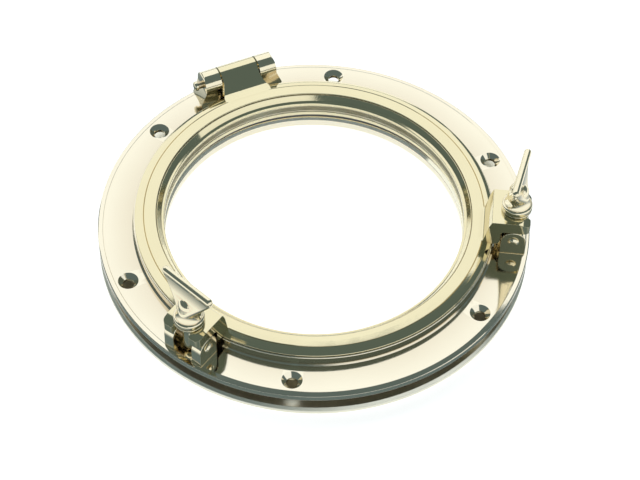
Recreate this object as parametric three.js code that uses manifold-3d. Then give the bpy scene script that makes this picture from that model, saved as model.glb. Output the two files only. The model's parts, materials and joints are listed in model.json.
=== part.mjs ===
// Opening porthole: a flanged frame clamped through a hull, a hinged glazed ring, and two swing-bolt
// dogs with thumb nuts. Millimetres, +Z up. The opening's axis is Z, the hinge is towards +Y, and
// z = 0 is the outer end of the spigot, level with the back of the trim ring.
// Heights in the outlines are above the top of the flange.
import * as THREE from 'three';
import { mergeVertices } from 'three/addons/utils/BufferGeometryUtils.js';
import Module from 'manifold-3d';

const wasm = await Module();
wasm.setup();

// Frame
const flangeTop = 19.5;
const flangeRadius = 145;
const flangeThickness = 5;
const edgeBevelWidth = 3;
const edgeBevelDrop = 0.5;
const clearRadius = 100.5;
const spigotRadius = 119;
const seatRimRadius = 121;
const seatRimHeight = 7.5;
const frameBore = 115;
const ledgeDepth = 12.5;
const screwCount = 6;
const screwCircle = 133.2;
const screwHoleRadius = 3.75;
const countersinkRadius = 6.75;
const trimThickness = 4.8;

// Glazed ring
const crestHeight = 10.8;
const crestOuter = 113.4;
const plugRadius = 113.6;
const plugDepth = 8.2;
const doorFlangeRadius = 120.2;
const doorFlangeUnderside = 7.9;
const glazingRadius = 105.7;
const lipTop = -5.2;
const glassThickness = 6;
const beddingThickness = 0.7;

// Hinge
const hingeDistance = 134;
const hingeHeight = 12.6;
const knuckleRadius = 8.7;
const knuckleHalfWidth = 13.5;
const earInner = 14.5;
const earOuter = 26.5;
const earFootOuter = 31;
const hingePinRadius = 2.6;

// Dogs
const dogAngles = { left: 210, right: 330 };
const pivotDistance = 133.7;
const pivotHeight = 11.9;
const dogEarRadius = 8.4;
const dogEarInner = 7.2;
const dogEarOuter = 14.6;
const dogPinRadius = 2.5;
const boltRadius = 4.75;
const boltTop = 48;
const lugHalfWidth = 14.7;
const lugUnderside = 20.6;
const lugEnd = 143.5;
const prongRadius = 17.7;
const slotHalfWidth = 6.5;
const washerRadius = 10;
const washerThickness = 1.2;
const hubShoulder = 4;
const hubTopRadius = 7.2;
const hubTop = 41;
const bladeTop = 67;
const bladeHalfLength = 21;
const bladeHalfThickness = 2.5;
const bladeTurns = { left: -7, right: -10 };

const gap = 0.3;
const ringSegments = 60;
const pinSegments = 16;
const overshoot = 1;
const planDepth = 60;
const boreReach = 40;

const washerBottom = pivotHeight + prongRadius + gap;
const nutBottom = washerBottom + washerThickness + gap;

const brass = { color: 0xcdb96a, roughness: 0.22, metalness: 1 };
const rubber = { color: 0x1b1c1e, roughness: 0.85, metalness: 0 };
const paleBedding = { color: 0xe6dfc4, roughness: 0.6, metalness: 0 };
const clearGlass = { color: 0xdfeeea, roughness: 0.05, metalness: 0 };

const porthole = new THREE.Group();

function signedVolume(points, corners) {
  const a = new THREE.Vector3();
  const b = new THREE.Vector3();
  const c = new THREE.Vector3();
  let volume = 0;
  for (let i = 0; i < corners.length; i += 3) {
    a.fromArray(points, 3 * corners[i]);
    b.fromArray(points, 3 * corners[i + 1]);
    c.fromArray(points, 3 * corners[i + 2]);
    volume += a.dot(b.cross(c)) / 6;
  }
  return volume;
}

// A solid from a closed geometry, whichever way its faces wind.
function solidFrom(geometry) {
  const bare = geometry.clone();
  bare.deleteAttribute('normal');
  bare.deleteAttribute('uv');
  const shell = mergeVertices(bare, 1e-4);
  const points = shell.getAttribute('position').array;
  const corners = [];
  for (let i = 0; i < shell.index.count; i += 3) {
    const [a, b, c] = shell.index.array.subarray(i, i + 3);
    if (a !== b && b !== c && a !== c) corners.push(a, b, c);
  }
  if (signedVolume(points, corners) < 0) corners.reverse();
  return new wasm.Manifold(new wasm.Mesh({
    numProp: 3,
    vertProperties: Float32Array.from(points),
    triVerts: Uint32Array.from(corners),
  }));
}

// A named mesh in the assembly, from a finished solid.
function addPart(name, solid, look) {
  const { vertProperties, triVerts } = solid.getMesh();
  const geometry = new THREE.BufferGeometry();
  geometry.setAttribute('position', new THREE.BufferAttribute(Float32Array.from(vertProperties), 3));
  geometry.setIndex(new THREE.BufferAttribute(Uint32Array.from(triVerts), 1));
  geometry.computeVertexNormals();
  const mesh = new THREE.Mesh(geometry, new THREE.MeshStandardMaterial(look));
  mesh.name = name;
  porthole.add(mesh);
}

// A solid of revolution about Z from an outline of [radius, height]. The outline either closes on
// itself or runs from axis to axis.
function turned(outline, segments = ringSegments, base = flangeTop) {
  const points = outline.map(([radius, height]) => new THREE.Vector2(radius, height + base));
  if (outline[0][0] > 0) points.push(points[0].clone());
  return solidFrom(new THREE.LatheGeometry(points, segments).rotateX(Math.PI / 2));
}

function cylinder(radius, bottom, top, segments = pinSegments) {
  return turned([[0, bottom], [radius, bottom], [radius, top], [0, top]], segments);
}

// A plate standing in the radial plane at +X, from an outline of distance from the axis and height.
// It reaches from tangential position `from` to `to`.
function radialPlate(shape, from, to, curveSegments = 9) {
  const geometry = new THREE.ExtrudeGeometry(shape, { depth: to - from, bevelEnabled: false, curveSegments });
  geometry.rotateX(Math.PI / 2);
  geometry.translate(0, to, flangeTop);
  return solidFrom(geometry);
}

// A shape standing across the radial plane, from an outline of tangential position and height. It
// reaches from distance `from` to `to`.
function tangentialPlate(points, from, to) {
  const shape = new THREE.Shape(points.map(([across, height]) => new THREE.Vector2(across, height)));
  const geometry = new THREE.ExtrudeGeometry(shape, { depth: to - from, bevelEnabled: false });
  geometry.rotateX(Math.PI / 2);
  geometry.rotateZ(Math.PI / 2);
  geometry.translate(from, 0, flangeTop);
  return solidFrom(geometry);
}

// A round pin across the radial plane, from an outline of [radius, tangential position].
function crossPin(outline, distance, height, segments = pinSegments) {
  return turned(outline, segments, 0)
    .rotate([-90, 0, 0])
    .translate([distance, 0, flangeTop + height]);
}

function crossBore(radius, distance, height) {
  const outline = [[0, -boreReach], [radius, -boreReach], [radius, boreReach], [0, boreReach]];
  return crossPin(outline, distance, height);
}

// Takes the same hole out at every screw position.
function drilled(solid, hole) {
  let result = solid;
  for (let i = 0; i < screwCount; i += 1) {
    result = result.subtract(hole.translate([screwCircle, 0, 0]).rotate([0, 0, (i * 360) / screwCount]));
  }
  return result;
}

// Frame: flange, seat rim, spigot and the inner ledge.
const rimRound = 0.4;
const ledgeChamfer = 2.5;
const frameBody = turned([
  [flangeRadius, -flangeThickness],
  [flangeRadius, -edgeBevelDrop],
  [flangeRadius - edgeBevelWidth, 0],
  [seatRimRadius, 0],
  [seatRimRadius, seatRimHeight - rimRound],
  [seatRimRadius - rimRound, seatRimHeight],
  [frameBore, seatRimHeight],
  [frameBore, -ledgeDepth],
  [clearRadius + ledgeChamfer, -ledgeDepth],
  [clearRadius, -ledgeDepth - 1.5],
  [clearRadius, -flangeTop],
  [spigotRadius, -flangeTop],
  [spigotRadius, -flangeThickness],
]);
const countersinkDepth = countersinkRadius - screwHoleRadius;
const countersunkHole = turned([
  [0, -flangeThickness - overshoot],
  [screwHoleRadius, -flangeThickness - overshoot],
  [screwHoleRadius, -countersinkDepth],
  [countersinkRadius, 0],
  [countersinkRadius, overshoot],
  [0, overshoot],
], 16);
addPart('frame', drilled(frameBody, countersunkHole), brass);

// Outer trim ring: loose on the spigot, for the far face of the hull.
const trimBevel = 1.5;
const trimTop = trimThickness - flangeTop;
const trimBody = turned([
  [spigotRadius + 0.5, -flangeTop],
  [flangeRadius, -flangeTop],
  [flangeRadius, trimTop - trimBevel],
  [flangeRadius - trimBevel, trimTop],
  [spigotRadius + 0.5, trimTop],
]);
const clearanceHole = cylinder(screwHoleRadius, -flangeTop - overshoot, trimTop + overshoot, 16);
addPart('outer_trim_ring', drilled(trimBody, clearanceHole), brass);

// Sealing gasket: a flat ring on the frame's ledge, squeezed by the glazed ring.
const gasketTop = -plugDepth - gap;
addPart('sealing_gasket', turned([
  [clearRadius + ledgeChamfer + 0.5, -ledgeDepth + gap],
  [frameBore - gap, -ledgeDepth + gap],
  [frameBore - gap, gasketTop - 0.5],
  [frameBore - gap - 0.5, gasketTop],
  [clearRadius + ledgeChamfer + 0.5, gasketTop],
]), rubber);

// Door ring: the glazed ring, its hinge arm and the two forked lugs, cast in one piece.
const flankRadius = 117.4;
const flankHeight = 9.8;
const crestFlat = { from: 108.4, to: 110.6 };
const doorBody = turned([
  [clearRadius, -plugDepth],
  [plugRadius, -plugDepth],
  [plugRadius, doorFlangeUnderside],
  [doorFlangeRadius, doorFlangeUnderside],
  [doorFlangeRadius - 0.5, doorFlangeUnderside + 0.9],
  [flankRadius, flankHeight],
  [crestOuter, crestHeight - 0.3],
  [crestFlat.to, crestHeight],
  [crestFlat.from, crestHeight],
  [glazingRadius + 0.3, crestHeight - 0.2],
  [glazingRadius, crestHeight - 0.5],
  [glazingRadius, lipTop],
  [clearRadius, lipTop],
]);

const rootDistance = 109;
const rootUnderside = doorFlangeUnderside + 0.5;
const rootTop = crestHeight - 0.5;

// The arm: a round knuckle between the ears and a sloping web that widens to the ring.
function hingeArm() {
  const wideHalf = 17;
  const wideEnd = 117;
  const narrowStart = 124.5;
  const planEnd = hingeDistance + knuckleRadius + overshoot;
  const undersideTurn = -0.83 * Math.PI;
  const slopeTurn = 0.66 * Math.PI;
  const slopeFoot = { distance: 118, height: 12.2 };
  const side = new THREE.Shape();
  side.moveTo(rootDistance, rootUnderside);
  side.lineTo(hingeDistance - knuckleRadius + 1.3, rootUnderside);
  side.absarc(hingeDistance, hingeHeight, knuckleRadius, undersideTurn, slopeTurn, false);
  side.lineTo(slopeFoot.distance, slopeFoot.height);
  side.lineTo(slopeFoot.distance - 3, rootTop);
  side.lineTo(rootDistance, rootTop);
  const halfPlan = [
    [rootDistance - overshoot, wideHalf],
    [wideEnd, wideHalf],
    [narrowStart, knuckleHalfWidth],
    [planEnd, knuckleHalfWidth],
  ];
  const otherHalf = halfPlan.map(([distance, across]) => [distance, -across]).reverse();
  const plan = new THREE.Shape([...halfPlan, ...otherHalf].map(([x, y]) => new THREE.Vector2(x, y)));
  const planSolid = solidFrom(new THREE.ExtrudeGeometry(plan, { depth: planDepth, bevelEnabled: false }));
  return radialPlate(side, -wideHalf, wideHalf)
    .intersect(planSolid)
    .subtract(crossBore(hingePinRadius + gap, hingeDistance, hingeHeight))
    .rotate([0, 0, 90]);
}

// A forked lug. The prong tops are round about the dog's pivot, so that the nut swings clear.
function forkLug() {
  const topHeight = pivotHeight + prongRadius;
  const topStart = 118;
  const legDistance = 124.5;
  const cornerRadius = 3.5;
  const slotStart = 127;
  const endAngle = Math.acos((lugEnd - pivotDistance) / prongRadius);
  const side = new THREE.Shape();
  side.moveTo(rootDistance, rootUnderside);
  side.lineTo(legDistance - 2, rootUnderside);
  side.lineTo(legDistance, rootUnderside + 2);
  side.lineTo(legDistance, lugUnderside);
  side.lineTo(lugEnd, lugUnderside);
  side.lineTo(lugEnd, pivotHeight + prongRadius * Math.sin(endAngle));
  side.absarc(pivotDistance, pivotHeight, prongRadius, endAngle, Math.PI / 2, false);
  side.lineTo(topStart, topHeight);
  side.lineTo(topStart - 1, topHeight - 1);
  side.lineTo(crestOuter, crestHeight - 0.2);
  side.lineTo(rootDistance, rootTop);
  const plan = new THREE.Shape();
  plan.moveTo(rootDistance - overshoot, -lugHalfWidth);
  plan.lineTo(lugEnd - cornerRadius, -lugHalfWidth);
  plan.absarc(lugEnd - cornerRadius, cornerRadius - lugHalfWidth, cornerRadius, -Math.PI / 2, 0, false);
  plan.lineTo(lugEnd, -slotHalfWidth);
  plan.lineTo(slotStart + slotHalfWidth, -slotHalfWidth);
  plan.absarc(slotStart + slotHalfWidth, 0, slotHalfWidth, -Math.PI / 2, Math.PI / 2, true);
  plan.lineTo(lugEnd, slotHalfWidth);
  plan.absarc(lugEnd - cornerRadius, lugHalfWidth - cornerRadius, cornerRadius, 0, Math.PI / 2, false);
  plan.lineTo(rootDistance - overshoot, lugHalfWidth);
  const planOptions = { depth: planDepth, bevelEnabled: false, curveSegments: 4 };
  const planSolid = solidFrom(new THREE.ExtrudeGeometry(plan, planOptions));
  return radialPlate(side, -lugHalfWidth, lugHalfWidth, 6).intersect(planSolid);
}

let doorCasting = doorBody.add(hingeArm());
for (const angle of Object.values(dogAngles)) {
  doorCasting = doorCasting.add(forkLug().rotate([0, 0, angle]));
}
addPart('door_ring', doorCasting, brass);

// Glazing: bedding, glass, bedding, and the sloping ring that holds them down.
const lowerBeddingBottom = lipTop + gap;
const glassBottom = lowerBeddingBottom + beddingThickness + gap;
const upperBeddingBottom = glassBottom + glassThickness + gap;
const retainerBottom = upperBeddingBottom + beddingThickness + gap;
const retainerOuter = glazingRadius - gap;

function bedding(bottom) {
  const inner = clearRadius + 0.7;
  const outer = glazingRadius - 0.5;
  const top = bottom + beddingThickness;
  return turned([[inner, bottom], [outer, bottom], [outer, top], [inner, top]]);
}

addPart('lower_glass_bedding', bedding(lowerBeddingBottom), paleBedding);
const glassTop = glassBottom + glassThickness;
addPart('glass_pane', cylinder(glazingRadius - 0.8, glassBottom, glassTop, ringSegments), clearGlass);
addPart('upper_glass_bedding', bedding(upperBeddingBottom), paleBedding);
const retainerEdge = 5.8;
addPart('glass_retaining_ring', turned([
  [clearRadius, retainerBottom],
  [retainerOuter, retainerBottom],
  [retainerOuter, crestHeight - 0.4],
  [clearRadius + 1.7, retainerEdge + 0.5],
  [clearRadius, retainerEdge],
]), brass);

// Hinge: two ears whose outer sides spread to the foot, and a pin that stands out past the left one.
function hingeEar(side) {
  const profile = new THREE.Shape();
  profile.moveTo(hingeDistance - 8, gap);
  profile.lineTo(hingeDistance + 7.5, gap);
  profile.lineTo(hingeDistance + knuckleRadius, hingeHeight);
  profile.absarc(hingeDistance, hingeHeight, knuckleRadius, 0, Math.PI, false);
  const faceOn = tangentialPlate([
    [earInner, 0],
    [earFootOuter, 0],
    [earOuter, hingeHeight - 1],
    [earOuter, hingeHeight + knuckleRadius - 1.5],
    [earOuter - 1.5, hingeHeight + knuckleRadius + overshoot],
    [earInner, hingeHeight + knuckleRadius + overshoot],
  ], hingeDistance - 20, hingeDistance + 20);
  const ear = radialPlate(profile, earInner, earFootOuter)
    .intersect(faceOn)
    .subtract(crossBore(hingePinRadius + gap, hingeDistance, hingeHeight));
  return side === 'left' ? ear : ear.mirror([0, 1, 0]);
}

for (const side of ['left', 'right']) {
  addPart(`hinge_ear_${side}`, hingeEar(side).rotate([0, 0, 90]), brass);
}

const pinHeadRadius = 3.4;
const pinHeadStart = earOuter + 3.6;
const pinEnd = earOuter + 2;
addPart('hinge_pin', crossPin([
  [0, -pinEnd],
  [hingePinRadius - 0.8, -pinEnd],
  [hingePinRadius, -pinEnd + 0.8],
  [hingePinRadius, pinHeadStart],
  [pinHeadRadius, pinHeadStart],
  [pinHeadRadius, pinHeadStart + 1.6],
  [pinHeadRadius - 1.2, pinHeadStart + 2.8],
  [0, pinHeadStart + 3.2],
], hingeDistance, hingeHeight).rotate([0, 0, 90]), brass);

// Dogs
function dogEar(from, to) {
  const profile = new THREE.Shape();
  profile.moveTo(pivotDistance - dogEarRadius, gap);
  profile.lineTo(pivotDistance + dogEarRadius, gap);
  profile.absarc(pivotDistance, pivotHeight, dogEarRadius, 0, Math.PI, false);
  return radialPlate(profile, from, to)
    .subtract(crossBore(dogPinRadius + gap, pivotDistance, pivotHeight));
}

function dogPin() {
  const headRadius = 3.8;
  const headStart = dogEarOuter + gap;
  const half = [
    [dogPinRadius, headStart],
    [headRadius, headStart],
    [headRadius - 0.8, headStart + 1],
    [0, headStart + 1.8],
  ];
  const otherHalf = half.map(([radius, position]) => [radius, -position]).reverse();
  return crossPin([...otherHalf, ...half], pivotDistance, pivotHeight);
}

// A rod with a round foot, cross-drilled for the pivot pin.
function swingBolt() {
  const domeSteps = 5;
  const domeCentre = 3 + boltRadius;
  const outline = [];
  for (let i = 0; i <= domeSteps; i += 1) {
    const turn = (i * Math.PI) / (2 * domeSteps);
    outline.push([boltRadius * Math.sin(turn), domeCentre - boltRadius * Math.cos(turn)]);
  }
  outline.push([boltRadius, boltTop - 1], [boltRadius - 1, boltTop], [0, boltTop]);
  return turned(outline, 20)
    .translate([pivotDistance, 0, 0])
    .subtract(crossBore(dogPinRadius + gap, pivotDistance, pivotHeight));
}

function washer() {
  const bore = boltRadius + 0.5;
  const top = washerBottom + washerThickness;
  return turned([[bore, washerBottom], [washerRadius, washerBottom], [washerRadius, top], [bore, top]], 24)
    .translate([pivotDistance, 0, 0]);
}

// A skin through rings of points, closed at both ends.
function lofted(sections) {
  const count = sections[0].length;
  const corners = [];
  for (let level = 0; level + 1 < sections.length; level += 1) {
    for (let i = 0; i < count; i += 1) {
      const a = level * count + i;
      const b = level * count + ((i + 1) % count);
      corners.push(a, b, b + count, a, b + count, a + count);
    }
  }
  const last = (sections.length - 1) * count;
  for (let i = 1; i + 1 < count; i += 1) {
    corners.push(0, i + 1, i, last, last + i, last + i + 1);
  }
  const geometry = new THREE.BufferGeometry();
  geometry.setAttribute('position', new THREE.Float32BufferAttribute(sections.flat(2), 3));
  geometry.setIndex(corners);
  return solidFrom(geometry);
}

// The grip of the thumb nut: it starts as the hub's circle and fans out to a long, thin, rounded edge.
function nutBlade() {
  const points = 20;
  const steps = 4;
  const straightTop = bladeTop - bladeHalfThickness;
  const slotSection = (halfLength, halfThickness, height) => Array.from({ length: points }, (_, i) => {
    const turn = ((i + 0.5) * 2 * Math.PI) / points;
    const end = Math.sign(Math.cos(turn)) * (halfLength - halfThickness);
    return [halfThickness * Math.sin(turn), halfThickness * Math.cos(turn) + end, height + flangeTop];
  });
  const sections = [slotSection(hubTopRadius, hubTopRadius, hubTop - 2)];
  for (let i = 0; i <= steps; i += 1) {
    const rise = i / steps;
    const halfLength = hubTopRadius + (bladeHalfLength - hubTopRadius) * rise;
    const halfThickness = hubTopRadius + (bladeHalfThickness - hubTopRadius) * rise;
    sections.push(slotSection(halfLength, halfThickness, hubTop + (straightTop - hubTop) * rise));
  }
  for (const turn of [Math.PI / 6, Math.PI / 3, 0.46 * Math.PI]) {
    const inset = bladeHalfThickness * (1 - Math.cos(turn));
    const height = straightTop + bladeHalfThickness * Math.sin(turn);
    sections.push(slotSection(bladeHalfLength - inset, bladeHalfThickness - inset, height));
  }
  return lofted(sections);
}

function thumbNut(side) {
  const boreRadius = boltRadius + gap;
  const hub = turned([
    [0, nutBottom],
    [washerRadius - 0.6, nutBottom],
    [washerRadius, nutBottom + 0.6],
    [washerRadius, nutBottom + hubShoulder - 1.4],
    [washerRadius - 1.4, nutBottom + hubShoulder],
    [hubTopRadius, hubTop],
    [0, hubTop],
  ], 20);
  const blindBore = turned([
    [0, nutBottom - overshoot],
    [boreRadius, nutBottom - overshoot],
    [boreRadius, boltTop + 0.5],
    [0, boltTop + 2.5],
  ], 20);
  return hub
    .add(nutBlade())
    .subtract(blindBore)
    .rotate([0, 0, bladeTurns[side]])
    .translate([pivotDistance, 0, 0]);
}

for (const [side, angle] of Object.entries(dogAngles)) {
  const place = (name, solid) => addPart(`${side}_${name}`, solid.rotate([0, 0, angle]), brass);
  place('dog_ear_a', dogEar(-dogEarOuter, -dogEarInner));
  place('dog_ear_b', dogEar(dogEarInner, dogEarOuter));
  place('dog_pin', dogPin());
  place('swing_bolt', swingBolt());
  place('washer', washer());
  place('thumb_nut', thumbNut(side));
}

export default porthole;
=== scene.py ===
import json
import math

import bmesh
import bpy
from mathutils import Matrix, Vector


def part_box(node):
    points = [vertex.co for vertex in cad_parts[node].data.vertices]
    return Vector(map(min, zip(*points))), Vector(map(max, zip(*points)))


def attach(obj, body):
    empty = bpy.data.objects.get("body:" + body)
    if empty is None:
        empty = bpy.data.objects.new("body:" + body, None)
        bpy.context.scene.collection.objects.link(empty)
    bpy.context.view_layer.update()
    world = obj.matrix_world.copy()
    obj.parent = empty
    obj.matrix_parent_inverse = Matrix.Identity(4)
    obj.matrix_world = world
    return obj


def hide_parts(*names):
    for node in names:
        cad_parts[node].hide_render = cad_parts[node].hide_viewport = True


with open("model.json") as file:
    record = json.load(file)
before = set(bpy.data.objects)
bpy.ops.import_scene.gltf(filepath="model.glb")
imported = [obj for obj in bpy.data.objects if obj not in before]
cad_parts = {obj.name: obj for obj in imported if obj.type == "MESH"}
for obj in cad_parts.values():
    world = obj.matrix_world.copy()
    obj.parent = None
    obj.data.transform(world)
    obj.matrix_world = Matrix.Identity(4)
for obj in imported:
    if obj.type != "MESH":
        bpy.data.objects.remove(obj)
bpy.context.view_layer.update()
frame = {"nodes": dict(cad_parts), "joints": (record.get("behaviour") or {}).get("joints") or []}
nodes = frame["nodes"]
mm = 0.001

# levels and distances that every piece shares, read from the frame
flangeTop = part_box("hinge_ear_left")[0].z - 0.3 * mm
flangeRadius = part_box("frame")[1].x
dogAngles = {"left": 210, "right": 330}
hingeJoint = next(j for j in frame["joints"] if j["name"] == "door_hinge")
hingeY = hingeJoint["pos_m"][1] / mm
hingeZ = (hingeJoint["pos_m"][2] - flangeTop) / mm
dogJoint = next(j for j in frame["joints"] if j["name"] == "left_dog_swing")
pivotR = math.hypot(dogJoint["pos_m"][0], dogJoint["pos_m"][1]) / mm
pivotZ = (dogJoint["pos_m"][2] - flangeTop) / mm
print("frame loaded")


# shapes are given in millimetres, with heights above the flange
def toObject(bm, name, smoothAngle=32):
    bmesh.ops.remove_doubles(bm, verts=bm.verts, dist=1e-4)
    bmesh.ops.recalc_face_normals(bm, faces=bm.faces)
    mesh = bpy.data.meshes.new(name)
    bm.to_mesh(mesh)
    bm.free()
    mesh.transform(Matrix.Translation((0, 0, flangeTop)) @ Matrix.Scale(mm, 4))
    piece = bpy.data.objects.new(name, mesh)
    bpy.context.scene.collection.objects.link(piece)
    smooth(piece, smoothAngle)
    return piece


def smooth(piece, angle=32):
    for face in piece.data.polygons:
        face.use_smooth = True
    piece.data.set_sharp_from_angle(angle=math.radians(angle))


def baked(piece):
    # turns the modifiers into a plain mesh
    bpy.context.view_layer.update()
    shape = piece.evaluated_get(bpy.context.evaluated_depsgraph_get())
    mesh = bpy.data.meshes.new_from_object(shape)
    piece.modifiers.clear()
    old = piece.data
    piece.data = mesh
    mesh.name = old.name
    bpy.data.meshes.remove(old)
    return piece


def rounded(piece, width, segments=3, angle=30):
    bevel = piece.modifiers.new("round", "BEVEL")
    bevel.width = width * mm
    bevel.segments = segments
    bevel.limit_method = "ANGLE"
    bevel.angle_limit = math.radians(angle)
    bevel.use_clamp_overlap = True
    baked(piece)
    smooth(piece, 40)
    return piece


def combine(piece, other, operation):
    cut = piece.modifiers.new("join", "BOOLEAN")
    cut.operation = operation
    cut.solver = "EXACT"
    cut.object = other
    baked(piece)
    bpy.data.objects.remove(other)
    smooth(piece)
    return piece


def filleted(points):
    # an outline whose points may carry a corner radius: (x, y) or (x, y, radius)
    outline = []
    count = len(points)
    for i, point in enumerate(points):
        corner = Vector(point[:2])
        if len(point) < 3:
            outline.append(corner)
            continue
        before = (Vector(points[i - 1][:2]) - corner).normalized()
        after = (Vector(points[(i + 1) % count][:2]) - corner).normalized()
        half = before.angle(after) / 2
        reach = point[2] / math.tan(half)
        centre = corner + (before + after).normalized() * point[2] / math.sin(half)
        start = corner + before * reach - centre
        sweep = start.angle_signed(corner + after * reach - centre)
        steps = max(3, round(abs(sweep) / math.radians(15)))
        for k in range(steps + 1):
            turn = -sweep * k / steps
            outline.append(centre + Matrix.Rotation(turn, 2) @ start)
    return outline


def turnedMesh(outline, segments):
    # turns a closed outline of (radius, height) round the axis
    bm = bmesh.new()
    rings = []
    for r, z in outline:
        if r < 1e-6:
            rings.append([bm.verts.new((0, 0, z))])
            continue
        turns = [2 * math.pi * k / segments for k in range(segments)]
        rings.append([bm.verts.new((r * math.cos(t), r * math.sin(t), z)) for t in turns])
    pairs = list(zip(rings, rings[1:] + rings[:1]))
    for a, b in pairs:
        if len(a) == 1 and len(b) == 1:
            continue
        for k in range(segments):
            n = (k + 1) % segments
            face = [a[k % len(a)], a[n % len(a)], b[n % len(b)], b[k % len(b)]]
            bm.faces.new(list(dict.fromkeys(face)))
    return bm


def turned(name, points, segments=192):
    return toObject(turnedMesh([tuple(p) for p in filleted(points)], segments), name)


def prism(outline, low, high, place):
    bm = bmesh.new()
    loops = [[bm.verts.new(place(x, y, t)) for x, y in outline] for t in (low, high)]
    bm.faces.new(loops[0][::-1])
    bm.faces.new(loops[1])
    count = len(outline)
    for i in range(count):
        n = (i + 1) % count
        bm.faces.new([loops[0][i], loops[0][n], loops[1][n], loops[1][i]])
    return bm


def sidePlate(name, outline, low, high):
    # stands in the radial plane at +X, from one tangential place to another
    return toObject(prism(outline, low, high, lambda s, z, t: (s, t, z)), name)


def frontPlate(name, outline, low, high):
    # stands across the radial plane, its outline seen from outside
    return toObject(prism(outline, low, high, lambda t, z, s: (s, t, z)), name)


def planPlate(name, outline, low, high):
    return toObject(prism(outline, low, high, lambda s, t, z: (s, t, z)), name)


def arc(x, y, radius, start, end, steps=16):
    angles = [math.radians(start + (end - start) * k / steps) for k in range(steps + 1)]
    return [(x + radius * math.cos(a), y + radius * math.sin(a)) for a in angles]


def crossTurned(name, outline, distance, height, segments=48):
    # a round bar lying along the tangent, from (radius, tangential place)
    bm = turnedMesh([tuple(p) for p in filleted(outline)], segments)
    lay = Matrix.Translation((distance, 0, height)) @ Matrix.Rotation(math.radians(-90), 4, "X")
    bmesh.ops.transform(bm, matrix=lay, verts=bm.verts)
    return toObject(bm, name)


def bore(radius, distance, height, reach=60):
    return crossTurned("bore", [(0, -reach), (radius, -reach), (radius, reach), (0, reach)], distance, height)


def turnTo(piece, degrees):
    piece.data.transform(Matrix.Rotation(math.radians(degrees), 4, "Z"))
    piece.data.update()
    return piece


def finished(piece, material, body, slot, *stands):
    piece.data.materials.clear()
    piece.data.materials.append(material)
    for face in piece.data.polygons:
        face.material_index = 0
    # flat faces keep their own normals next to small rounds
    flatten = piece.modifiers.new("flats", "WEIGHTED_NORMAL")
    flatten.keep_sharp = True
    baked(piece)
    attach(piece, body)
    if stands:
        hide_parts(*stands)
    return piece


def newGroup(name, inputs, outputs):
    group = bpy.data.node_groups.new(name, "ShaderNodeTree")
    for label, kind, value in inputs:
        socket = group.interface.new_socket(label, in_out="INPUT", socket_type=kind)
        socket.default_value = value
    for label, kind in outputs:
        group.interface.new_socket(label, in_out="OUTPUT", socket_type=kind)
    return group, group.nodes.new("NodeGroupInput"), group.nodes.new("NodeGroupOutput")


def noiseAt(tree, vector, scale, detail=3.0, rough=0.5):
    noise = tree.nodes.new("ShaderNodeTexNoise")
    noise.inputs["Scale"].default_value = scale
    noise.inputs["Detail"].default_value = detail
    noise.inputs["Roughness"].default_value = rough
    tree.links.new(vector, noise.inputs["Vector"])
    return noise.outputs["Fac"]


def spread(tree, value, low, high, newLow=0.0, newHigh=1.0):
    remap = tree.nodes.new("ShaderNodeMapRange")
    for socket, number in zip(("From Min", "From Max", "To Min", "To Max"), (low, high, newLow, newHigh)):
        remap.inputs[socket].default_value = number
    tree.links.new(value, remap.inputs["Value"])
    return remap.outputs["Result"]


def mixColour(tree, factor, first, second):
    mix = tree.nodes.new("ShaderNodeMix")
    mix.data_type = "RGBA"
    tree.links.new(factor, mix.inputs[0])
    tree.links.new(first, mix.inputs[6])
    tree.links.new(second, mix.inputs[7])
    return mix.outputs[2]


def calculate(tree, operation, first, second):
    node = tree.nodes.new("ShaderNodeMath")
    node.operation = operation
    for socket, value in zip(node.inputs, (first, second)):
        if isinstance(value, (int, float)):
            socket.default_value = value
        else:
            tree.links.new(value, socket)
    return node.outputs[0]


def brassFinishGroup():
    # polished metal: tone drift, dull film in the hollows, finger smudges and fine buffing lines
    group, start, end = newGroup("brassFinish", [
        ("Metal", "NodeSocketColor", (0.9, 0.8, 0.5, 1)),
        ("Tarnish", "NodeSocketColor", (0.3, 0.2, 0.08, 1)),
        ("Gloss Roughness", "NodeSocketFloat", 0.06),
        ("Smudge Roughness", "NodeSocketFloat", 0.12),
        ("Tarnish Amount", "NodeSocketFloat", 0.5),
    ], [("Color", "NodeSocketColor"), ("Roughness", "NodeSocketFloat"), ("Height", "NodeSocketFloat")])
    place = group.nodes.new("ShaderNodeTexCoord").outputs["Object"]
    drift = spread(group, noiseAt(group, place, 18, 2), 0.3, 0.7)
    smudge = spread(group, noiseAt(group, place, 55, 4, 0.6), 0.42, 0.72)
    hollow = group.nodes.new("ShaderNodeNewGeometry").outputs["Pointiness"]
    crease = spread(group, hollow, 0.5, 0.4)
    film = calculate(group, "MULTIPLY", crease, start.outputs["Tarnish Amount"])
    patch = calculate(group, "MULTIPLY", drift, 0.05)
    dull = group.nodes.new("ShaderNodeClamp")
    group.links.new(calculate(group, "ADD", film, patch), dull.inputs["Value"])
    colour = mixColour(group, dull.outputs[0], start.outputs["Metal"], start.outputs["Tarnish"])
    group.links.new(colour, end.inputs["Color"])
    rough = group.nodes.new("ShaderNodeMix")
    group.links.new(smudge, rough.inputs[0])
    group.links.new(start.outputs["Gloss Roughness"], rough.inputs[2])
    group.links.new(start.outputs["Smudge Roughness"], rough.inputs[3])
    group.links.new(calculate(group, "ADD", rough.outputs[0], calculate(group, "MULTIPLY", film, 0.3)),
                    end.inputs["Roughness"])
    stretch = group.nodes.new("ShaderNodeMapping")
    stretch.inputs["Scale"].default_value = (1, 9, 3)
    group.links.new(place, stretch.inputs["Vector"])
    lines = noiseAt(group, stretch.outputs[0], 320, 2)
    waves = calculate(group, "MULTIPLY", noiseAt(group, place, 30, 1), 2.0)
    group.links.new(calculate(group, "ADD", lines, waves), end.inputs["Height"])
    return group


brassGroup = brassFinishGroup()


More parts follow.
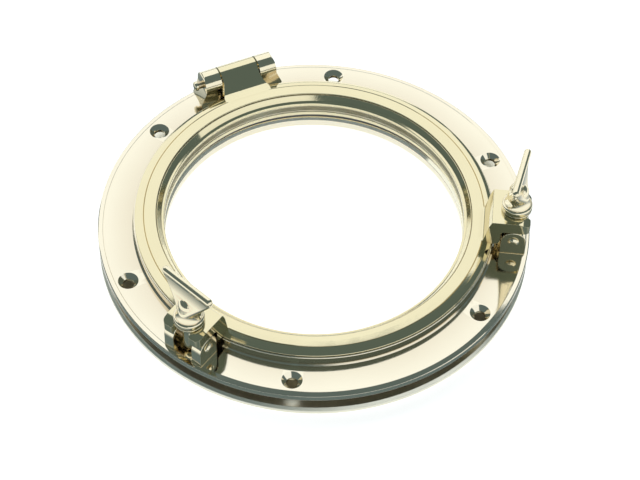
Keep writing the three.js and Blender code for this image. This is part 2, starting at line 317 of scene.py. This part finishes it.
def brassMaterial(name, metal, gloss, smudge, tarnish, bump):
    material = bpy.data.materials.new(name)
    material.use_nodes = True
    tree = material.node_tree
    surface = tree.nodes["Principled BSDF"]
    finish = tree.nodes.new("ShaderNodeGroup")
    finish.node_tree = brassGroup
    finish.inputs["Metal"].default_value = (*metal, 1)
    finish.inputs["Tarnish"].default_value = (0.33, 0.2, 0.08, 1)
    finish.inputs["Gloss Roughness"].default_value = gloss
    finish.inputs["Smudge Roughness"].default_value = smudge
    finish.inputs["Tarnish Amount"].default_value = tarnish
    tree.links.new(finish.outputs["Color"], surface.inputs["Base Color"])
    tree.links.new(finish.outputs["Roughness"], surface.inputs["Roughness"])
    surface.inputs["Metallic"].default_value = 1
    relief = tree.nodes.new("ShaderNodeBump")
    relief.inputs["Strength"].default_value = bump
    relief.inputs["Distance"].default_value = 0.03 * mm
    tree.links.new(finish.outputs["Height"], relief.inputs["Height"])
    tree.links.new(relief.outputs[0], surface.inputs["Normal"])
    return material


def rubberMaterial():
    material = bpy.data.materials.new("blackRubber")
    material.use_nodes = True
    tree = material.node_tree
    surface = tree.nodes["Principled BSDF"]
    place = tree.nodes.new("ShaderNodeTexCoord").outputs["Object"]
    grain = noiseAt(tree, place, 900, 2)
    bloom = spread(tree, noiseAt(tree, place, 60, 3), 0.4, 0.7)
    dark = tree.nodes.new("ShaderNodeRGB")
    dark.outputs[0].default_value = (0.02, 0.02, 0.022, 1)
    pale = tree.nodes.new("ShaderNodeRGB")
    pale.outputs[0].default_value = (0.05, 0.05, 0.052, 1)
    tree.links.new(mixColour(tree, bloom, dark.outputs[0], pale.outputs[0]), surface.inputs["Base Color"])
    tree.links.new(spread(tree, bloom, 0, 1, 0.65, 0.85), surface.inputs["Roughness"])
    relief = tree.nodes.new("ShaderNodeBump")
    relief.inputs["Strength"].default_value = 0.3
    relief.inputs["Distance"].default_value = 0.1 * mm
    tree.links.new(grain, relief.inputs["Height"])
    tree.links.new(relief.outputs[0], surface.inputs["Normal"])
    return material


def beddingMaterial():
    # pale setting compound with fine grit and faint yellowing
    material = bpy.data.materials.new("paleBedding")
    material.use_nodes = True
    tree = material.node_tree
    surface = tree.nodes["Principled BSDF"]
    place = tree.nodes.new("ShaderNodeTexCoord").outputs["Object"]
    fresh = tree.nodes.new("ShaderNodeRGB")
    fresh.outputs[0].default_value = (0.85, 0.80, 0.62, 1)
    aged = tree.nodes.new("ShaderNodeRGB")
    aged.outputs[0].default_value = (0.70, 0.60, 0.38, 1)
    yellowing = spread(tree, noiseAt(tree, place, 40, 4), 0.35, 0.8)
    colour = mixColour(tree, yellowing, fresh.outputs[0], aged.outputs[0])
    tree.links.new(colour, surface.inputs["Base Color"])
    tree.links.new(spread(tree, yellowing, 0, 1, 0.5, 0.7), surface.inputs["Roughness"])
    relief = tree.nodes.new("ShaderNodeBump")
    relief.inputs["Strength"].default_value = 0.3
    relief.inputs["Distance"].default_value = 0.1 * mm
    tree.links.new(noiseAt(tree, place, 1200, 2), relief.inputs["Height"])
    tree.links.new(relief.outputs[0], surface.inputs["Normal"])
    return material


def glassMaterial():
    material = bpy.data.materials.new("clearPane")
    material.use_nodes = True
    tree = material.node_tree
    surface = tree.nodes["Principled BSDF"]
    surface.inputs["Base Color"].default_value = (0.97, 0.99, 0.98, 1)
    surface.inputs["Transmission Weight"].default_value = 1
    surface.inputs["IOR"].default_value = 1.45
    place = tree.nodes.new("ShaderNodeTexCoord").outputs["Object"]
    haze = spread(tree, noiseAt(tree, place, 25, 4), 0.5, 0.8, 0.0, 0.008)
    tree.links.new(haze, surface.inputs["Roughness"])
    # light passes straight through to what is below
    clear = tree.nodes.new("ShaderNodeBsdfTransparent")
    rays = tree.nodes.new("ShaderNodeLightPath")
    blend = tree.nodes.new("ShaderNodeMixShader")
    tree.links.new(rays.outputs["Is Shadow Ray"], blend.inputs[0])
    tree.links.new(surface.outputs[0], blend.inputs[1])
    tree.links.new(clear.outputs[0], blend.inputs[2])
    tree.links.new(blend.outputs[0], tree.nodes["Material Output"].inputs["Surface"])
    return material


flangeBrass = brassMaterial("paleFlangeBrass", (0.83, 0.765, 0.615), 0.05, 0.10, 0.5, 0.12)
ringBrass = brassMaterial("polishedRingBrass", (0.75, 0.675, 0.45), 0.06, 0.12, 0.6, 0.15)
backBrass = brassMaterial("satinBackBrass", (0.86, 0.84, 0.72), 0.38, 0.45, 0.5, 0.2)
castBrass = brassMaterial("castFittingBrass", (0.82, 0.745, 0.55), 0.09, 0.17, 0.8, 0.3)
rubber = rubberMaterial()
bedding = beddingMaterial()
glass = glassMaterial()
print("materials made")


frameShape = {
    "holes": 6, "holeCircle": 133.2, "holeRadius": 3.75, "sinkRadius": 6.75,
    "spigotRadius": 119.0, "clearRadius": 100.5, "seatRadius": 121.0, "seatHeight": 7.5,
    "bore": 115.0, "ledge": -12.5, "ledgeChamfer": 2.5, "flange": -5.0, "spigotEnd": -19.5,
    "edgeLine": 3.35, "trimTop": -14.7, "trimBevel": 1.6, "trimClearance": 0.5, "segments": 240,
}


def holeCutterTree():
    # instances of one cutter, spaced round a circle
    tree = bpy.data.node_groups.new("screwHoleCircle", "GeometryNodeTree")
    tree.interface.new_socket("Cutter", in_out="INPUT", socket_type="NodeSocketGeometry")
    count = tree.interface.new_socket("Holes", in_out="INPUT", socket_type="NodeSocketInt")
    radius = tree.interface.new_socket("Circle Radius", in_out="INPUT", socket_type="NodeSocketFloat")
    tree.interface.new_socket("Cutters", in_out="OUTPUT", socket_type="NodeSocketGeometry")
    start = tree.nodes.new("NodeGroupInput")
    end = tree.nodes.new("NodeGroupOutput")
    circle = tree.nodes.new("GeometryNodeMeshCircle")
    scatter = tree.nodes.new("GeometryNodeInstanceOnPoints")
    real = tree.nodes.new("GeometryNodeRealizeInstances")
    paint = tree.nodes.new("GeometryNodeSetMaterial")
    paint.inputs["Material"].default_value = flangeBrass
    tree.links.new(start.outputs["Holes"], circle.inputs["Vertices"])
    tree.links.new(start.outputs["Circle Radius"], circle.inputs["Radius"])
    tree.links.new(circle.outputs["Mesh"], scatter.inputs["Points"])
    tree.links.new(start.outputs["Cutter"], scatter.inputs["Instance"])
    tree.links.new(scatter.outputs[0], real.inputs[0])
    tree.links.new(real.outputs[0], paint.inputs["Geometry"])
    tree.links.new(paint.outputs[0], end.inputs[0])
    return tree, count.identifier, radius.identifier


holeTree, holeCountKey, holeRadiusKey = holeCutterTree()


def holeCutters(outline):
    cutter = turned("holeCutter", outline, 48)
    modifier = cutter.modifiers.new("circle", "NODES")
    modifier.node_group = holeTree
    modifier[holeCountKey] = frameShape["holes"]
    modifier[holeRadiusKey] = frameShape["holeCircle"] * mm
    return baked(cutter)


def makeFrame():
    f = frameShape
    rim = flangeRadius / mm
    line = rim - f["edgeLine"]  # a fine scribed line runs round the flange just inside its edge
    ring = turned("frameRing", [
        (rim, f["flange"], 0.6), (rim, -0.9, 0.25), (rim - 0.55, -0.45, 0.3),
        (line + 0.15, -0.06), (line, -0.16), (line - 0.15, 0),
        (f["seatRadius"] + 0.9, 0), (f["seatRadius"], 0.9), (f["seatRadius"], f["seatHeight"], 0.8),
        (f["bore"], f["seatHeight"], 0.5), (f["bore"], f["ledge"]),
        (f["clearRadius"] + f["ledgeChamfer"], f["ledge"], 1.0), (f["clearRadius"], f["ledge"] - 1.5, 0.8),
        (f["clearRadius"], f["spigotEnd"], 0.6), (f["spigotRadius"], f["spigotEnd"], 0.6),
        (f["spigotRadius"], f["flange"]),
    ], f["segments"])
    depth = f["sinkRadius"] - f["holeRadius"]
    edge = f["sinkRadius"] + 0.6
    low, high = f["flange"] - 3, 2
    cutters = holeCutters([
        (0, low), (f["holeRadius"], low), (f["holeRadius"], -depth, 0.3),
        (f["sinkRadius"], 0), (edge, 0.3), (edge, high), (0, high),
    ])
    combine(ring, cutters, "DIFFERENCE")
    return finished(ring, flangeBrass, "frame", "brass", "frame")


def makeTrimRing():
    f = frameShape
    rim = flangeRadius / mm
    inner = f["spigotRadius"] + f["trimClearance"]
    low, high = f["spigotEnd"], f["trimTop"]
    ring = turned("trimRing", [
        (inner, low, 0.3), (rim, low, 0.5), (rim, high - f["trimBevel"], 0.4),
        (rim - f["trimBevel"], high, 0.4), (inner, high, 0.3),
    ], f["segments"])
    past = 5
    hole = [(0, low - past), (f["holeRadius"], low - past), (f["holeRadius"], high + past), (0, high + past)]
    combine(ring, holeCutters(hole), "DIFFERENCE")
    return finished(ring, backBrass, "trim", "brass", "outer_trim_ring")


makeFrame()
makeTrimRing()
print("frame and trim ring made")


ringShape = {
    "plug": 113.6, "plugBottom": -8.2, "flange": 120.2, "underside": 7.9, "flank": 117.4, "flankHeight": 9.85,
    "groove": 114.0, "crest": 109.5, "crestHeight": 10.85, "glazing": 105.7, "lip": -5.2, "segments": 240,
}
rootShape = {"start": 109.5, "low": 8.4, "high": 9.8, "planStart": 104, "planLow": -10, "planHigh": 60}
lugShape = {
    "halfWidth": 14.7, "under": 20.6, "end": 143.5, "crown": 17.7, "slotHalf": 6.5, "slotStart": 127.0,
    "leg": 124.6, "topStart": 118.3, "edgeRound": 0.7,
}
armShape = {
    "knuckle": 8.7, "half": 13.5, "rootHalf": 17.0, "pinRadius": 2.6, "pinSlack": 0.15, "edgeRound": 0.6,
}
glazingShape = {
    "retainerOuter": 105.4, "retainerBottom": 3.5, "retainerTop": 10.3, "retainerEdge": 5.8,
    "paneRadius": 104.9, "paneBottom": -3.9, "paneTop": 2.1,
}


def planCut(piece, outline):
    # keeps what lies inside an outline seen from above
    plate = planPlate("plan", outline, rootShape["planLow"], rootShape["planHigh"])
    return combine(piece, plate, "INTERSECT")


def makeLug(side):
    g = lugShape
    root = rootShape
    top = pivotZ + g["crown"]
    startAngle = math.degrees(math.acos((g["end"] - pivotR) / g["crown"]))
    outline = filleted([
        (root["start"], root["low"]), (g["leg"] - 1.8, root["low"], 1.0), (g["leg"], root["low"] + 2.6, 2.0),
        (g["leg"], g["under"], 2.2), (g["end"], g["under"]),
    ])
    outline += [Vector(p) for p in arc(pivotR, pivotZ, g["crown"], startAngle, 90)]
    outline += filleted([
        (g["end"] - 5, top), (g["topStart"], top, 1.6), (g["topStart"] - 2.1, 24, 12.0),
        (ringShape["plug"], 10.9, 1.0), (root["start"], root["high"]),
    ])[1:]
    lug = sidePlate("lug_" + side, outline, -g["halfWidth"], g["halfWidth"])
    plan = filleted([
        (root["planStart"], -g["halfWidth"]), (g["end"], -g["halfWidth"], 3.5),
        (g["end"], -g["slotHalf"], 1.2),
        (g["slotStart"], -g["slotHalf"], 6.2), (g["slotStart"], g["slotHalf"], 6.2),
        (g["end"], g["slotHalf"], 1.2), (g["end"], g["halfWidth"], 3.5), (root["planStart"], g["halfWidth"]),
    ])
    planCut(lug, plan)
    rounded(lug, g["edgeRound"])
    return turnTo(lug, dogAngles[side])


def makeArm():
    a = armShape
    root = rootShape
    outline = filleted([(root["start"], root["low"]), (127.0, root["low"])])
    outline += [Vector(p) for p in arc(hingeY, hingeZ, a["knuckle"], -150, 122, 28)]
    outline += filleted([(130, 20), (120.5, 11.9, 8.0), (113, 10.6), (root["start"], root["high"])])[1:]
    arm = sidePlate("arm", outline, -a["rootHalf"], a["rootHalf"])
    halfPlan = [
        (160, a["half"]), (125, a["half"], 4), (116, a["rootHalf"], 4),
        (root["planStart"], a["rootHalf"] + 1),
    ]
    otherHalf = [(p[0], -p[1], *p[2:]) for p in reversed(halfPlan)]
    planCut(arm, filleted(otherHalf + halfPlan))
    combine(arm, bore(a["pinRadius"] + a["pinSlack"], hingeY, hingeZ), "DIFFERENCE")
    rounded(arm, a["edgeRound"])
    return turnTo(arm, 90)


def makeDoorRing():
    g = ringShape
    clear = frameShape["clearRadius"]
    ring = turned("doorRing", [
        (clear, g["plugBottom"], 0.5), (g["plug"], g["plugBottom"], 0.8), (g["plug"], g["underside"]),
        (g["flange"], g["underside"], 0.3), (g["flange"] - 0.2, g["underside"] + 0.7, 0.5),
        (g["flank"], g["flankHeight"], 6.0), (g["groove"] + 0.3, 10.4), (g["groove"], 9.95),
        (g["groove"] - 0.4, 10.5, 0.1), (g["crest"], g["crestHeight"], 6.0),
        (g["glazing"], g["crestHeight"] - 0.4, 0.5), (g["glazing"], g["lip"]), (clear, g["lip"], 0.5),
    ], g["segments"])
    for extra in (makeArm(), makeLug("left"), makeLug("right")):
        combine(ring, extra, "UNION")
    smooth(ring, 34)
    return finished(ring, ringBrass, "door", "brass", "door_ring")


def makeGlazing():
    g = glazingShape
    clear = frameShape["clearRadius"]
    retainer = turned("glassRetainingRing", [
        (clear, g["retainerBottom"], 0.3), (g["retainerOuter"], g["retainerBottom"]),
        (g["retainerOuter"], g["retainerTop"], 0.3), (clear + 1.8, g["retainerEdge"] + 0.55, 0.8),
        (clear, g["retainerEdge"], 0.5),
    ], ringShape["segments"])
    finished(retainer, ringBrass, "door", "brass", "glass_retaining_ring")
    pane = turned("glassPane", [
        (0, g["paneBottom"]), (g["paneRadius"], g["paneBottom"], 0.6), (g["paneRadius"], g["paneTop"], 0.6),
        (0, g["paneTop"]),
    ])
    finished(pane, glass, "door", "glass", "glass_pane")


makeDoorRing()
makeGlazing()
print("glazed ring made")


hingeShape = {
    "earInner": 14.5, "earOuter": 26.5, "earFoot": 31, "earTop": 21.4, "footHeight": 0.02, "pinSlack": 0.15,
    "pinTail": -28.3, "pinHeadStart": 30, "pinHeadRadius": 3.4, "pinHeadEnd": 33.2,
}


def makeHingeEar(side):
    h = hingeShape
    outline = filleted([(hingeY - 8.3, h["footHeight"]), (hingeY + 7.8, h["footHeight"])])
    outline += [Vector(p) for p in arc(hingeY, hingeZ, armShape["knuckle"], 0, 180, 28)]
    ear = sidePlate("hingeEar_" + side, outline, h["earInner"], h["earFoot"])
    face = filleted([
        (h["earInner"], -1), (h["earFoot"] + 0.2, -1), (h["earOuter"], 11.0, 6),
        (h["earOuter"], h["earTop"], 2.5), (h["earInner"], h["earTop"]),
    ])
    combine(ear, frontPlate("face", face, hingeY - 30, hingeY + 30), "INTERSECT")
    combine(ear, bore(armShape["pinRadius"] + h["pinSlack"], hingeY, hingeZ), "DIFFERENCE")
    rounded(ear, armShape["edgeRound"])
    if side == "right":
        ear.data.transform(Matrix.Scale(-1, 4, (0, 1, 0)))
        ear.data.flip_normals()
    turnTo(ear, 90)
    return finished(ear, castBrass, "frame", "brass", "hinge_ear_" + side)


def makeHingePin():
    h = hingeShape
    r = armShape["pinRadius"]
    pin = crossTurned("hingePin", [
        (0, h["pinTail"]), (r, h["pinTail"], 0.8), (r, h["pinHeadStart"]),
        (h["pinHeadRadius"], h["pinHeadStart"], 0.3), (h["pinHeadRadius"], h["pinHeadEnd"] - 0.8, 1.4),
        (0, h["pinHeadEnd"]),
    ], hingeY, hingeZ)
    turnTo(pin, 90)
    return finished(pin, castBrass, "frame", "brass", "hinge_pin")


for side in ("left", "right"):
    makeHingeEar(side)
makeHingePin()
print("hinge made")


dogShape = {
    "earRadius": 8.4, "earInner": 7.2, "earOuter": 14.6, "earRound": 0.5, "footHeight": 0.02,
    "pinRadius": 2.5, "pinSlack": 0.15, "pinHeadRadius": 3.8,
    "boltRadius": 4.75, "boltFoot": 3.0, "boltTop": 48.0,
    "threadStart": 21.0, "threadDepth": 0.62, "threadPitch": 1.5,
    "washer": 10.0, "washerThickness": 1.2, "washerSlack": 0.5, "washerGap": 0.3,
}
nutShape = {
    "hubBase": 10.0, "shoulder": 4.0, "shoulderRound": 1.4, "hubTop": 7.2, "hubHeight": 41.0,
    "top": 67.0, "halfLength": 21.0, "halfThickness": 2.5, "neck": 1.7, "flare": 1.05, "thinning": 2.2,
    "dome": 6.6, "domeTop": 52.2, "boreSlack": 0.25, "gap": 0.2, "around": 96,
    "turns": {"left": -7.0, "right": -10.0},
}
washerBottom = pivotZ + lugShape["crown"] + dogShape["washerGap"]
nutBottom = washerBottom + dogShape["washerThickness"] + nutShape["gap"]


def makeDogEar(side, letter, low, high):
    d = dogShape
    outline = [(pivotR - d["earRadius"], d["footHeight"]), (pivotR + d["earRadius"], d["footHeight"])]
    outline += arc(pivotR, pivotZ, d["earRadius"], 0, 180, 28)
    ear = sidePlate(f"{side}DogEar_{letter}", outline, low, high)
    combine(ear, bore(d["pinRadius"] + d["pinSlack"], pivotR, pivotZ), "DIFFERENCE")
    rounded(ear, d["earRound"])
    turnTo(ear, dogAngles[side])
    return finished(ear, castBrass, "frame", "brass", f"{side}_dog_ear_{letter}")


def makeDogPin(side):
    d = dogShape
    reach = d["earOuter"] + 0.05
    r = d["pinHeadRadius"]
    head = [
        (d["pinRadius"], reach), (r, reach, 0.2), (r - 0.2, reach + 0.8, 0.5), (r - 1.6, reach + 1.75, 1.0),
        (0, reach + 2),
    ]
    mirrored = [(p[0], -p[1], *p[2:]) for p in reversed(head)]
    pin = crossTurned(side + "DogPin", mirrored + head, pivotR, pivotZ)
    turnTo(pin, dogAngles[side])
    return finished(pin, castBrass, "frame", "brass", side + "_dog_pin")


def threadTree():
    # a V ridge that follows a spiral up the bolt
    tree = bpy.data.node_groups.new("boltThread", "GeometryNodeTree")
    tree.interface.new_socket("Geometry", in_out="INPUT", socket_type="NodeSocketGeometry")
    keys = {}
    for label in ("Radius", "Height", "Turns", "Depth"):
        socket = tree.interface.new_socket(label, in_out="INPUT", socket_type="NodeSocketFloat")
        keys[label] = socket.identifier
    tree.interface.new_socket("Thread", in_out="OUTPUT", socket_type="NodeSocketGeometry")
    start = tree.nodes.new("NodeGroupInput")
    end = tree.nodes.new("NodeGroupOutput")
    spiral = tree.nodes.new("GeometryNodeCurveSpiral")
    spiral.inputs["Resolution"].default_value = 32
    driven = {"Start Radius": "Radius", "End Radius": "Radius", "Height": "Height", "Rotations": "Turns"}
    for socket, label in driven.items():
        tree.links.new(start.outputs[label], spiral.inputs[socket])
    ridge = tree.nodes.new("GeometryNodeCurvePrimitiveCircle")
    ridge.inputs["Resolution"].default_value = 4
    tree.links.new(start.outputs["Depth"], ridge.inputs["Radius"])
    sweep = tree.nodes.new("GeometryNodeCurveToMesh")
    sweep.inputs["Fill Caps"].default_value = True
    real = tree.nodes.new("GeometryNodeRealizeInstances")
    paint = tree.nodes.new("GeometryNodeSetMaterial")
    paint.inputs["Material"].default_value = castBrass
    tree.links.new(spiral.outputs[0], sweep.inputs["Curve"])
    tree.links.new(ridge.outputs[0], sweep.inputs["Profile Curve"])
    tree.links.new(sweep.outputs[0], real.inputs[0])
    tree.links.new(real.outputs[0], paint.inputs["Geometry"])
    tree.links.new(paint.outputs[0], end.inputs[0])
    return tree, keys


threadNodes, threadKeys = threadTree()


def makeThread(bottom, height):
    d = dogShape
    ridge = bpy.data.objects.new("thread", bpy.data.meshes.new("thread"))
    bpy.context.scene.collection.objects.link(ridge)
    modifier = ridge.modifiers.new("thread", "NODES")
    modifier.node_group = threadNodes
    values = {
        "Radius": (d["boltRadius"] - d["threadDepth"]) * mm, "Height": height * mm,
        "Turns": height / d["threadPitch"], "Depth": d["threadDepth"] * mm,
    }
    for label, value in values.items():
        modifier[threadKeys[label]] = value
    baked(ridge)
    ridge.data.transform(Matrix.Translation((pivotR * mm, 0, flangeTop + bottom * mm)))
    return ridge


def makeBolt(side):
    d = dogShape
    r = d["boltRadius"]
    root = r - d["threadDepth"]
    foot, start, top = d["boltFoot"], d["threadStart"], d["boltTop"]
    outline = [(0, foot)] + arc(0, foot + r, r, -80, 0, 10)
    outline += [(r, start - 0.8), (root, start), (root, top - 1), (root - 1, top), (0, top)]
    bolt = turned(side + "SwingBolt", outline, 64)
    bolt.data.transform(Matrix.Translation((pivotR * mm, 0, 0)))
    combine(bolt, bore(d["pinRadius"] + 0.2, pivotR, pivotZ), "DIFFERENCE")
    ridge = makeThread(start + 0.6, top - start - 2)
    mesh = bmesh.new()
    mesh.from_mesh(bolt.data)
    mesh.from_mesh(ridge.data)
    mesh.to_mesh(bolt.data)
    mesh.free()
    bpy.data.objects.remove(ridge)
    smooth(bolt, 35)
    turnTo(bolt, dogAngles[side])
    return finished(bolt, castBrass, side + "_bolt", "brass", side + "_swing_bolt")


def makeWasher(side):
    d = dogShape
    top = washerBottom + d["washerThickness"]
    hole = d["boltRadius"] + d["washerSlack"]
    washer = turned(side + "Washer", [
        (hole, washerBottom, 0.2), (d["washer"], washerBottom, 0.3), (d["washer"], top, 0.3),
        (hole, top, 0.2),
    ], 72)
    washer.data.transform(Matrix.Translation((pivotR * mm, 0, 0)))
    turnTo(washer, dogAngles[side])
    return finished(washer, castBrass, side + "_washer", "brass", side + "_washer")


def nutSections():
    # (half length, half thickness, height) from the seat to the rounded top edge
    n = nutShape
    hubSteps, webSteps, beadSteps = 8, 14, 12
    shoulderRound = n["shoulderRound"]
    shoulderTop = nutBottom + n["shoulder"]
    base = n["hubBase"]
    collar = [(base - 0.7, nutBottom), (base - 0.2, nutBottom + 0.2), (base, nutBottom + 0.7)]
    collar += arc(base - shoulderRound, shoulderTop - shoulderRound, shoulderRound, 0, 90, 6)
    sections = [(r, r, z) for r, z in collar]
    waist = n["hubBase"] - shoulderRound
    for k in range(1, hubSteps + 1):
        rise = k / hubSteps
        r = waist - (waist - n["hubTop"]) * (1 - (1 - rise) ** 2)
        sections.append((r, r, shoulderTop + (n["hubHeight"] - shoulderTop) * rise))
    shoulder = n["top"] - 2 * n["halfThickness"]
    for k in range(1, webSteps + 1):
        rise = k / webSteps
        half = n["hubTop"] + (n["halfLength"] - n["hubTop"]) * rise ** n["flare"]
        thick = n["hubTop"] + (n["neck"] - n["hubTop"]) * (1 - (1 - rise) ** n["thinning"])
        sections.append((half, thick, n["hubHeight"] + (shoulder - n["hubHeight"]) * rise))
    bead = n["halfThickness"]
    centre = n["top"] - bead
    beadStart, beadSweep = -50, 138
    for k in range(1, beadSteps + 1):
        turn = math.radians(beadStart + beadSweep * k / beadSteps)
        thick = bead * math.cos(turn)
        sections.append((n["halfLength"] - bead + thick, thick, centre + bead * math.sin(turn)))
    return sections


def makeNut(side):
    n = nutShape
    around = n["around"]
    bm = bmesh.new()
    rings = []

    def addRing(half, thick, height):
        ring = []
        for k in range(around):
            turn = 2 * math.pi * (k + 0.5) / around
            along = thick * math.cos(turn) + math.copysign(half - thick, math.cos(turn))
            ring.append(bm.verts.new((thick * math.sin(turn), along, height)))
        rings.append(ring)

    for section in nutSections():
        addRing(*section)
    for low, high in zip(rings, rings[1:]):
        for k in range(around):
            m = (k + 1) % around
            bm.faces.new([low[k], low[m], high[m], high[k]])
    bm.faces.new(rings[0])
    bm.faces.new(rings[-1])
    nut = toObject(bm, side + "ThumbNut")
    # a round cap stands in front of the thin web
    low = n["hubHeight"] - 6
    dome = [(0, low), (n["dome"], low), (n["dome"], n["domeTop"], n["dome"] - 0.6), (0, n["domeTop"])]
    combine(nut, turned("dome", dome, 64), "UNION")
    clear = dogShape["boltRadius"] + n["boreSlack"]
    below, boreTop = nutBottom - 1, dogShape["boltTop"] + 1
    bored = [(0, below), (clear + 1.6, below), (clear, nutBottom + 0.6), (clear, boreTop), (0, boreTop)]
    combine(nut, turned("blindBore", bored, 64), "DIFFERENCE")
    smooth(nut, 50)
    twist = Matrix.Rotation(math.radians(n["turns"][side]), 4, "Z")
    nut.data.transform(Matrix.Translation((pivotR * mm, 0, 0)) @ twist)
    turnTo(nut, dogAngles[side])
    return finished(nut, castBrass, side + "_nut", "brass", side + "_thumb_nut")


for side in dogAngles:
    makeDogEar(side, "a", -dogShape["earOuter"], -dogShape["earInner"])
    makeDogEar(side, "b", dogShape["earInner"], dogShape["earOuter"])
    makeDogPin(side)
    makeBolt(side)
    makeWasher(side)
    makeNut(side)
print("dogs made")

carriedOver = {"sealing_gasket": rubber, "lower_glass_bedding": bedding, "upper_glass_bedding": bedding}
for name, material in carriedOver.items():
    nodes[name].data.materials.clear()
    nodes[name].data.materials.append(material)


# shadeTone, shadeInner and shadeOuter set a painted shadow: a dark band of floor that only mirrored rays see
studio = {
    "floorHalf": 6, "floorTone": (0.9, 0.9, 0.9, 1), "floorGlow": 0.75, "shadeTone": (0.15, 0.205, 0.22, 1),
    "shadeInner": (0.147, 0.151), "shadeOuter": (0.23, 0.17), "worldTone": (0.125, 0.17, 0.175, 1),
    "cameraPlace": (-0.3600, -0.7753, 1.0452), "cameraTarget": (-0.00387, -0.01846, 0.0195),
    "cameraRoll": 1.403, "lens": 111.6, "sensor": 36,
}
softboxes = {
    "farSoftbox": {
        "azimuth": 84, "elevation": 38, "distance": 2.2, "width": 4.6, "height": 2.6, "radiance": 1.08,
    },
    "frontSoftbox": {
        "azimuth": -78, "elevation": 20, "distance": 2.2, "width": 4.0, "height": 1.35, "radiance": 1.0,
    },
}


def makeFloor():
    bm = bmesh.new()
    bmesh.ops.create_grid(bm, x_segments=1, y_segments=1, size=studio["floorHalf"])
    mesh = bpy.data.meshes.new("floor")
    bm.to_mesh(mesh)
    bm.free()
    floor = bpy.data.objects.new("floor", mesh)
    bpy.context.scene.collection.objects.link(floor)
    material = bpy.data.materials.new("paleFloor")
    material.use_nodes = True
    tree = material.node_tree
    surface = tree.nodes["Principled BSDF"]
    surface.inputs["Base Color"].default_value = studio["floorTone"]
    surface.inputs["Roughness"].default_value = 0.9
    glow = tree.nodes.new("ShaderNodeEmission")
    glow.inputs["Color"].default_value = (1, 1, 1, 1)
    glow.inputs["Strength"].default_value = studio["floorGlow"]
    both = tree.nodes.new("ShaderNodeAddShader")
    tree.links.new(surface.outputs[0], both.inputs[0])
    tree.links.new(glow.outputs[0], both.inputs[1])
    # painted shadow colour: an emission that mirrored rays see on the floor near the object
    dark = tree.nodes.new("ShaderNodeEmission")
    dark.inputs["Color"].default_value = studio["shadeTone"]
    rays = tree.nodes.new("ShaderNodeLightPath")
    blend = tree.nodes.new("ShaderNodeMixShader")
    # painted shadow: mirrored rays see a dark band of floor just outside the trim ring, standing in for the
    # object's shade, and pale floor elsewhere
    place = tree.nodes.new("ShaderNodeTexCoord").outputs["Object"]
    flat = tree.nodes.new("ShaderNodeVectorMath")
    flat.operation = "LENGTH"
    tree.links.new(place, flat.inputs[0])
    outside = spread(tree, flat.outputs["Value"], *studio["shadeOuter"])
    inside = spread(tree, flat.outputs["Value"], *studio["shadeInner"])
    shade = calculate(tree, "MULTIPLY", outside, inside)
    mirrored = calculate(tree, "SUBTRACT", rays.outputs["Is Glossy Ray"], rays.outputs["Is Transmission Ray"])
    tree.links.new(calculate(tree, "MULTIPLY", mirrored, shade), blend.inputs[0])
    tree.links.new(both.outputs[0], blend.inputs[1])
    tree.links.new(dark.outputs[0], blend.inputs[2])
    tree.links.new(blend.outputs[0], tree.nodes["Material Output"].inputs["Surface"])
    floor.data.materials.append(material)


def addSoftbox(name, azimuth, elevation, distance, width, height, radiance):
    lamp = bpy.data.lights.new(name, "AREA")
    lamp.shape = "RECTANGLE"
    lamp.size = width
    lamp.size_y = height
    lamp.energy = radiance * math.pi * width * height
    box = bpy.data.objects.new(name, lamp)
    bpy.context.scene.collection.objects.link(box)
    a, e = math.radians(azimuth), math.radians(elevation)
    direction = Vector((math.cos(a) * math.cos(e), math.sin(a) * math.cos(e), math.sin(e)))
    box.location = direction * distance
    box.rotation_euler = direction.to_track_quat("Z", "Y").to_euler()


makeFloor()
for name, box in softboxes.items():
    addSoftbox(name, **box)

world = bpy.data.worlds.new("studio")
world.use_nodes = True
world.node_tree.nodes["Background"].inputs["Color"].default_value = studio["worldTone"]
bpy.context.scene.world = world

cameraPlace = Vector(studio["cameraPlace"])
cameraTarget = Vector(studio["cameraTarget"])
camera = bpy.data.cameras.new("camera")
camera.lens = studio["lens"]
camera.sensor_width = studio["sensor"]
view = bpy.data.objects.new("camera", camera)
bpy.context.scene.collection.objects.link(view)
look = (cameraTarget - cameraPlace).to_track_quat("-Z", "Y").to_matrix().to_4x4()
roll = Matrix.Rotation(math.radians(studio["cameraRoll"]), 4, "Z")
view.matrix_world = Matrix.Translation(cameraPlace) @ look @ roll
bpy.context.scene.camera = view
bpy.context.scene.view_settings.view_transform = "Standard"
print("studio made")
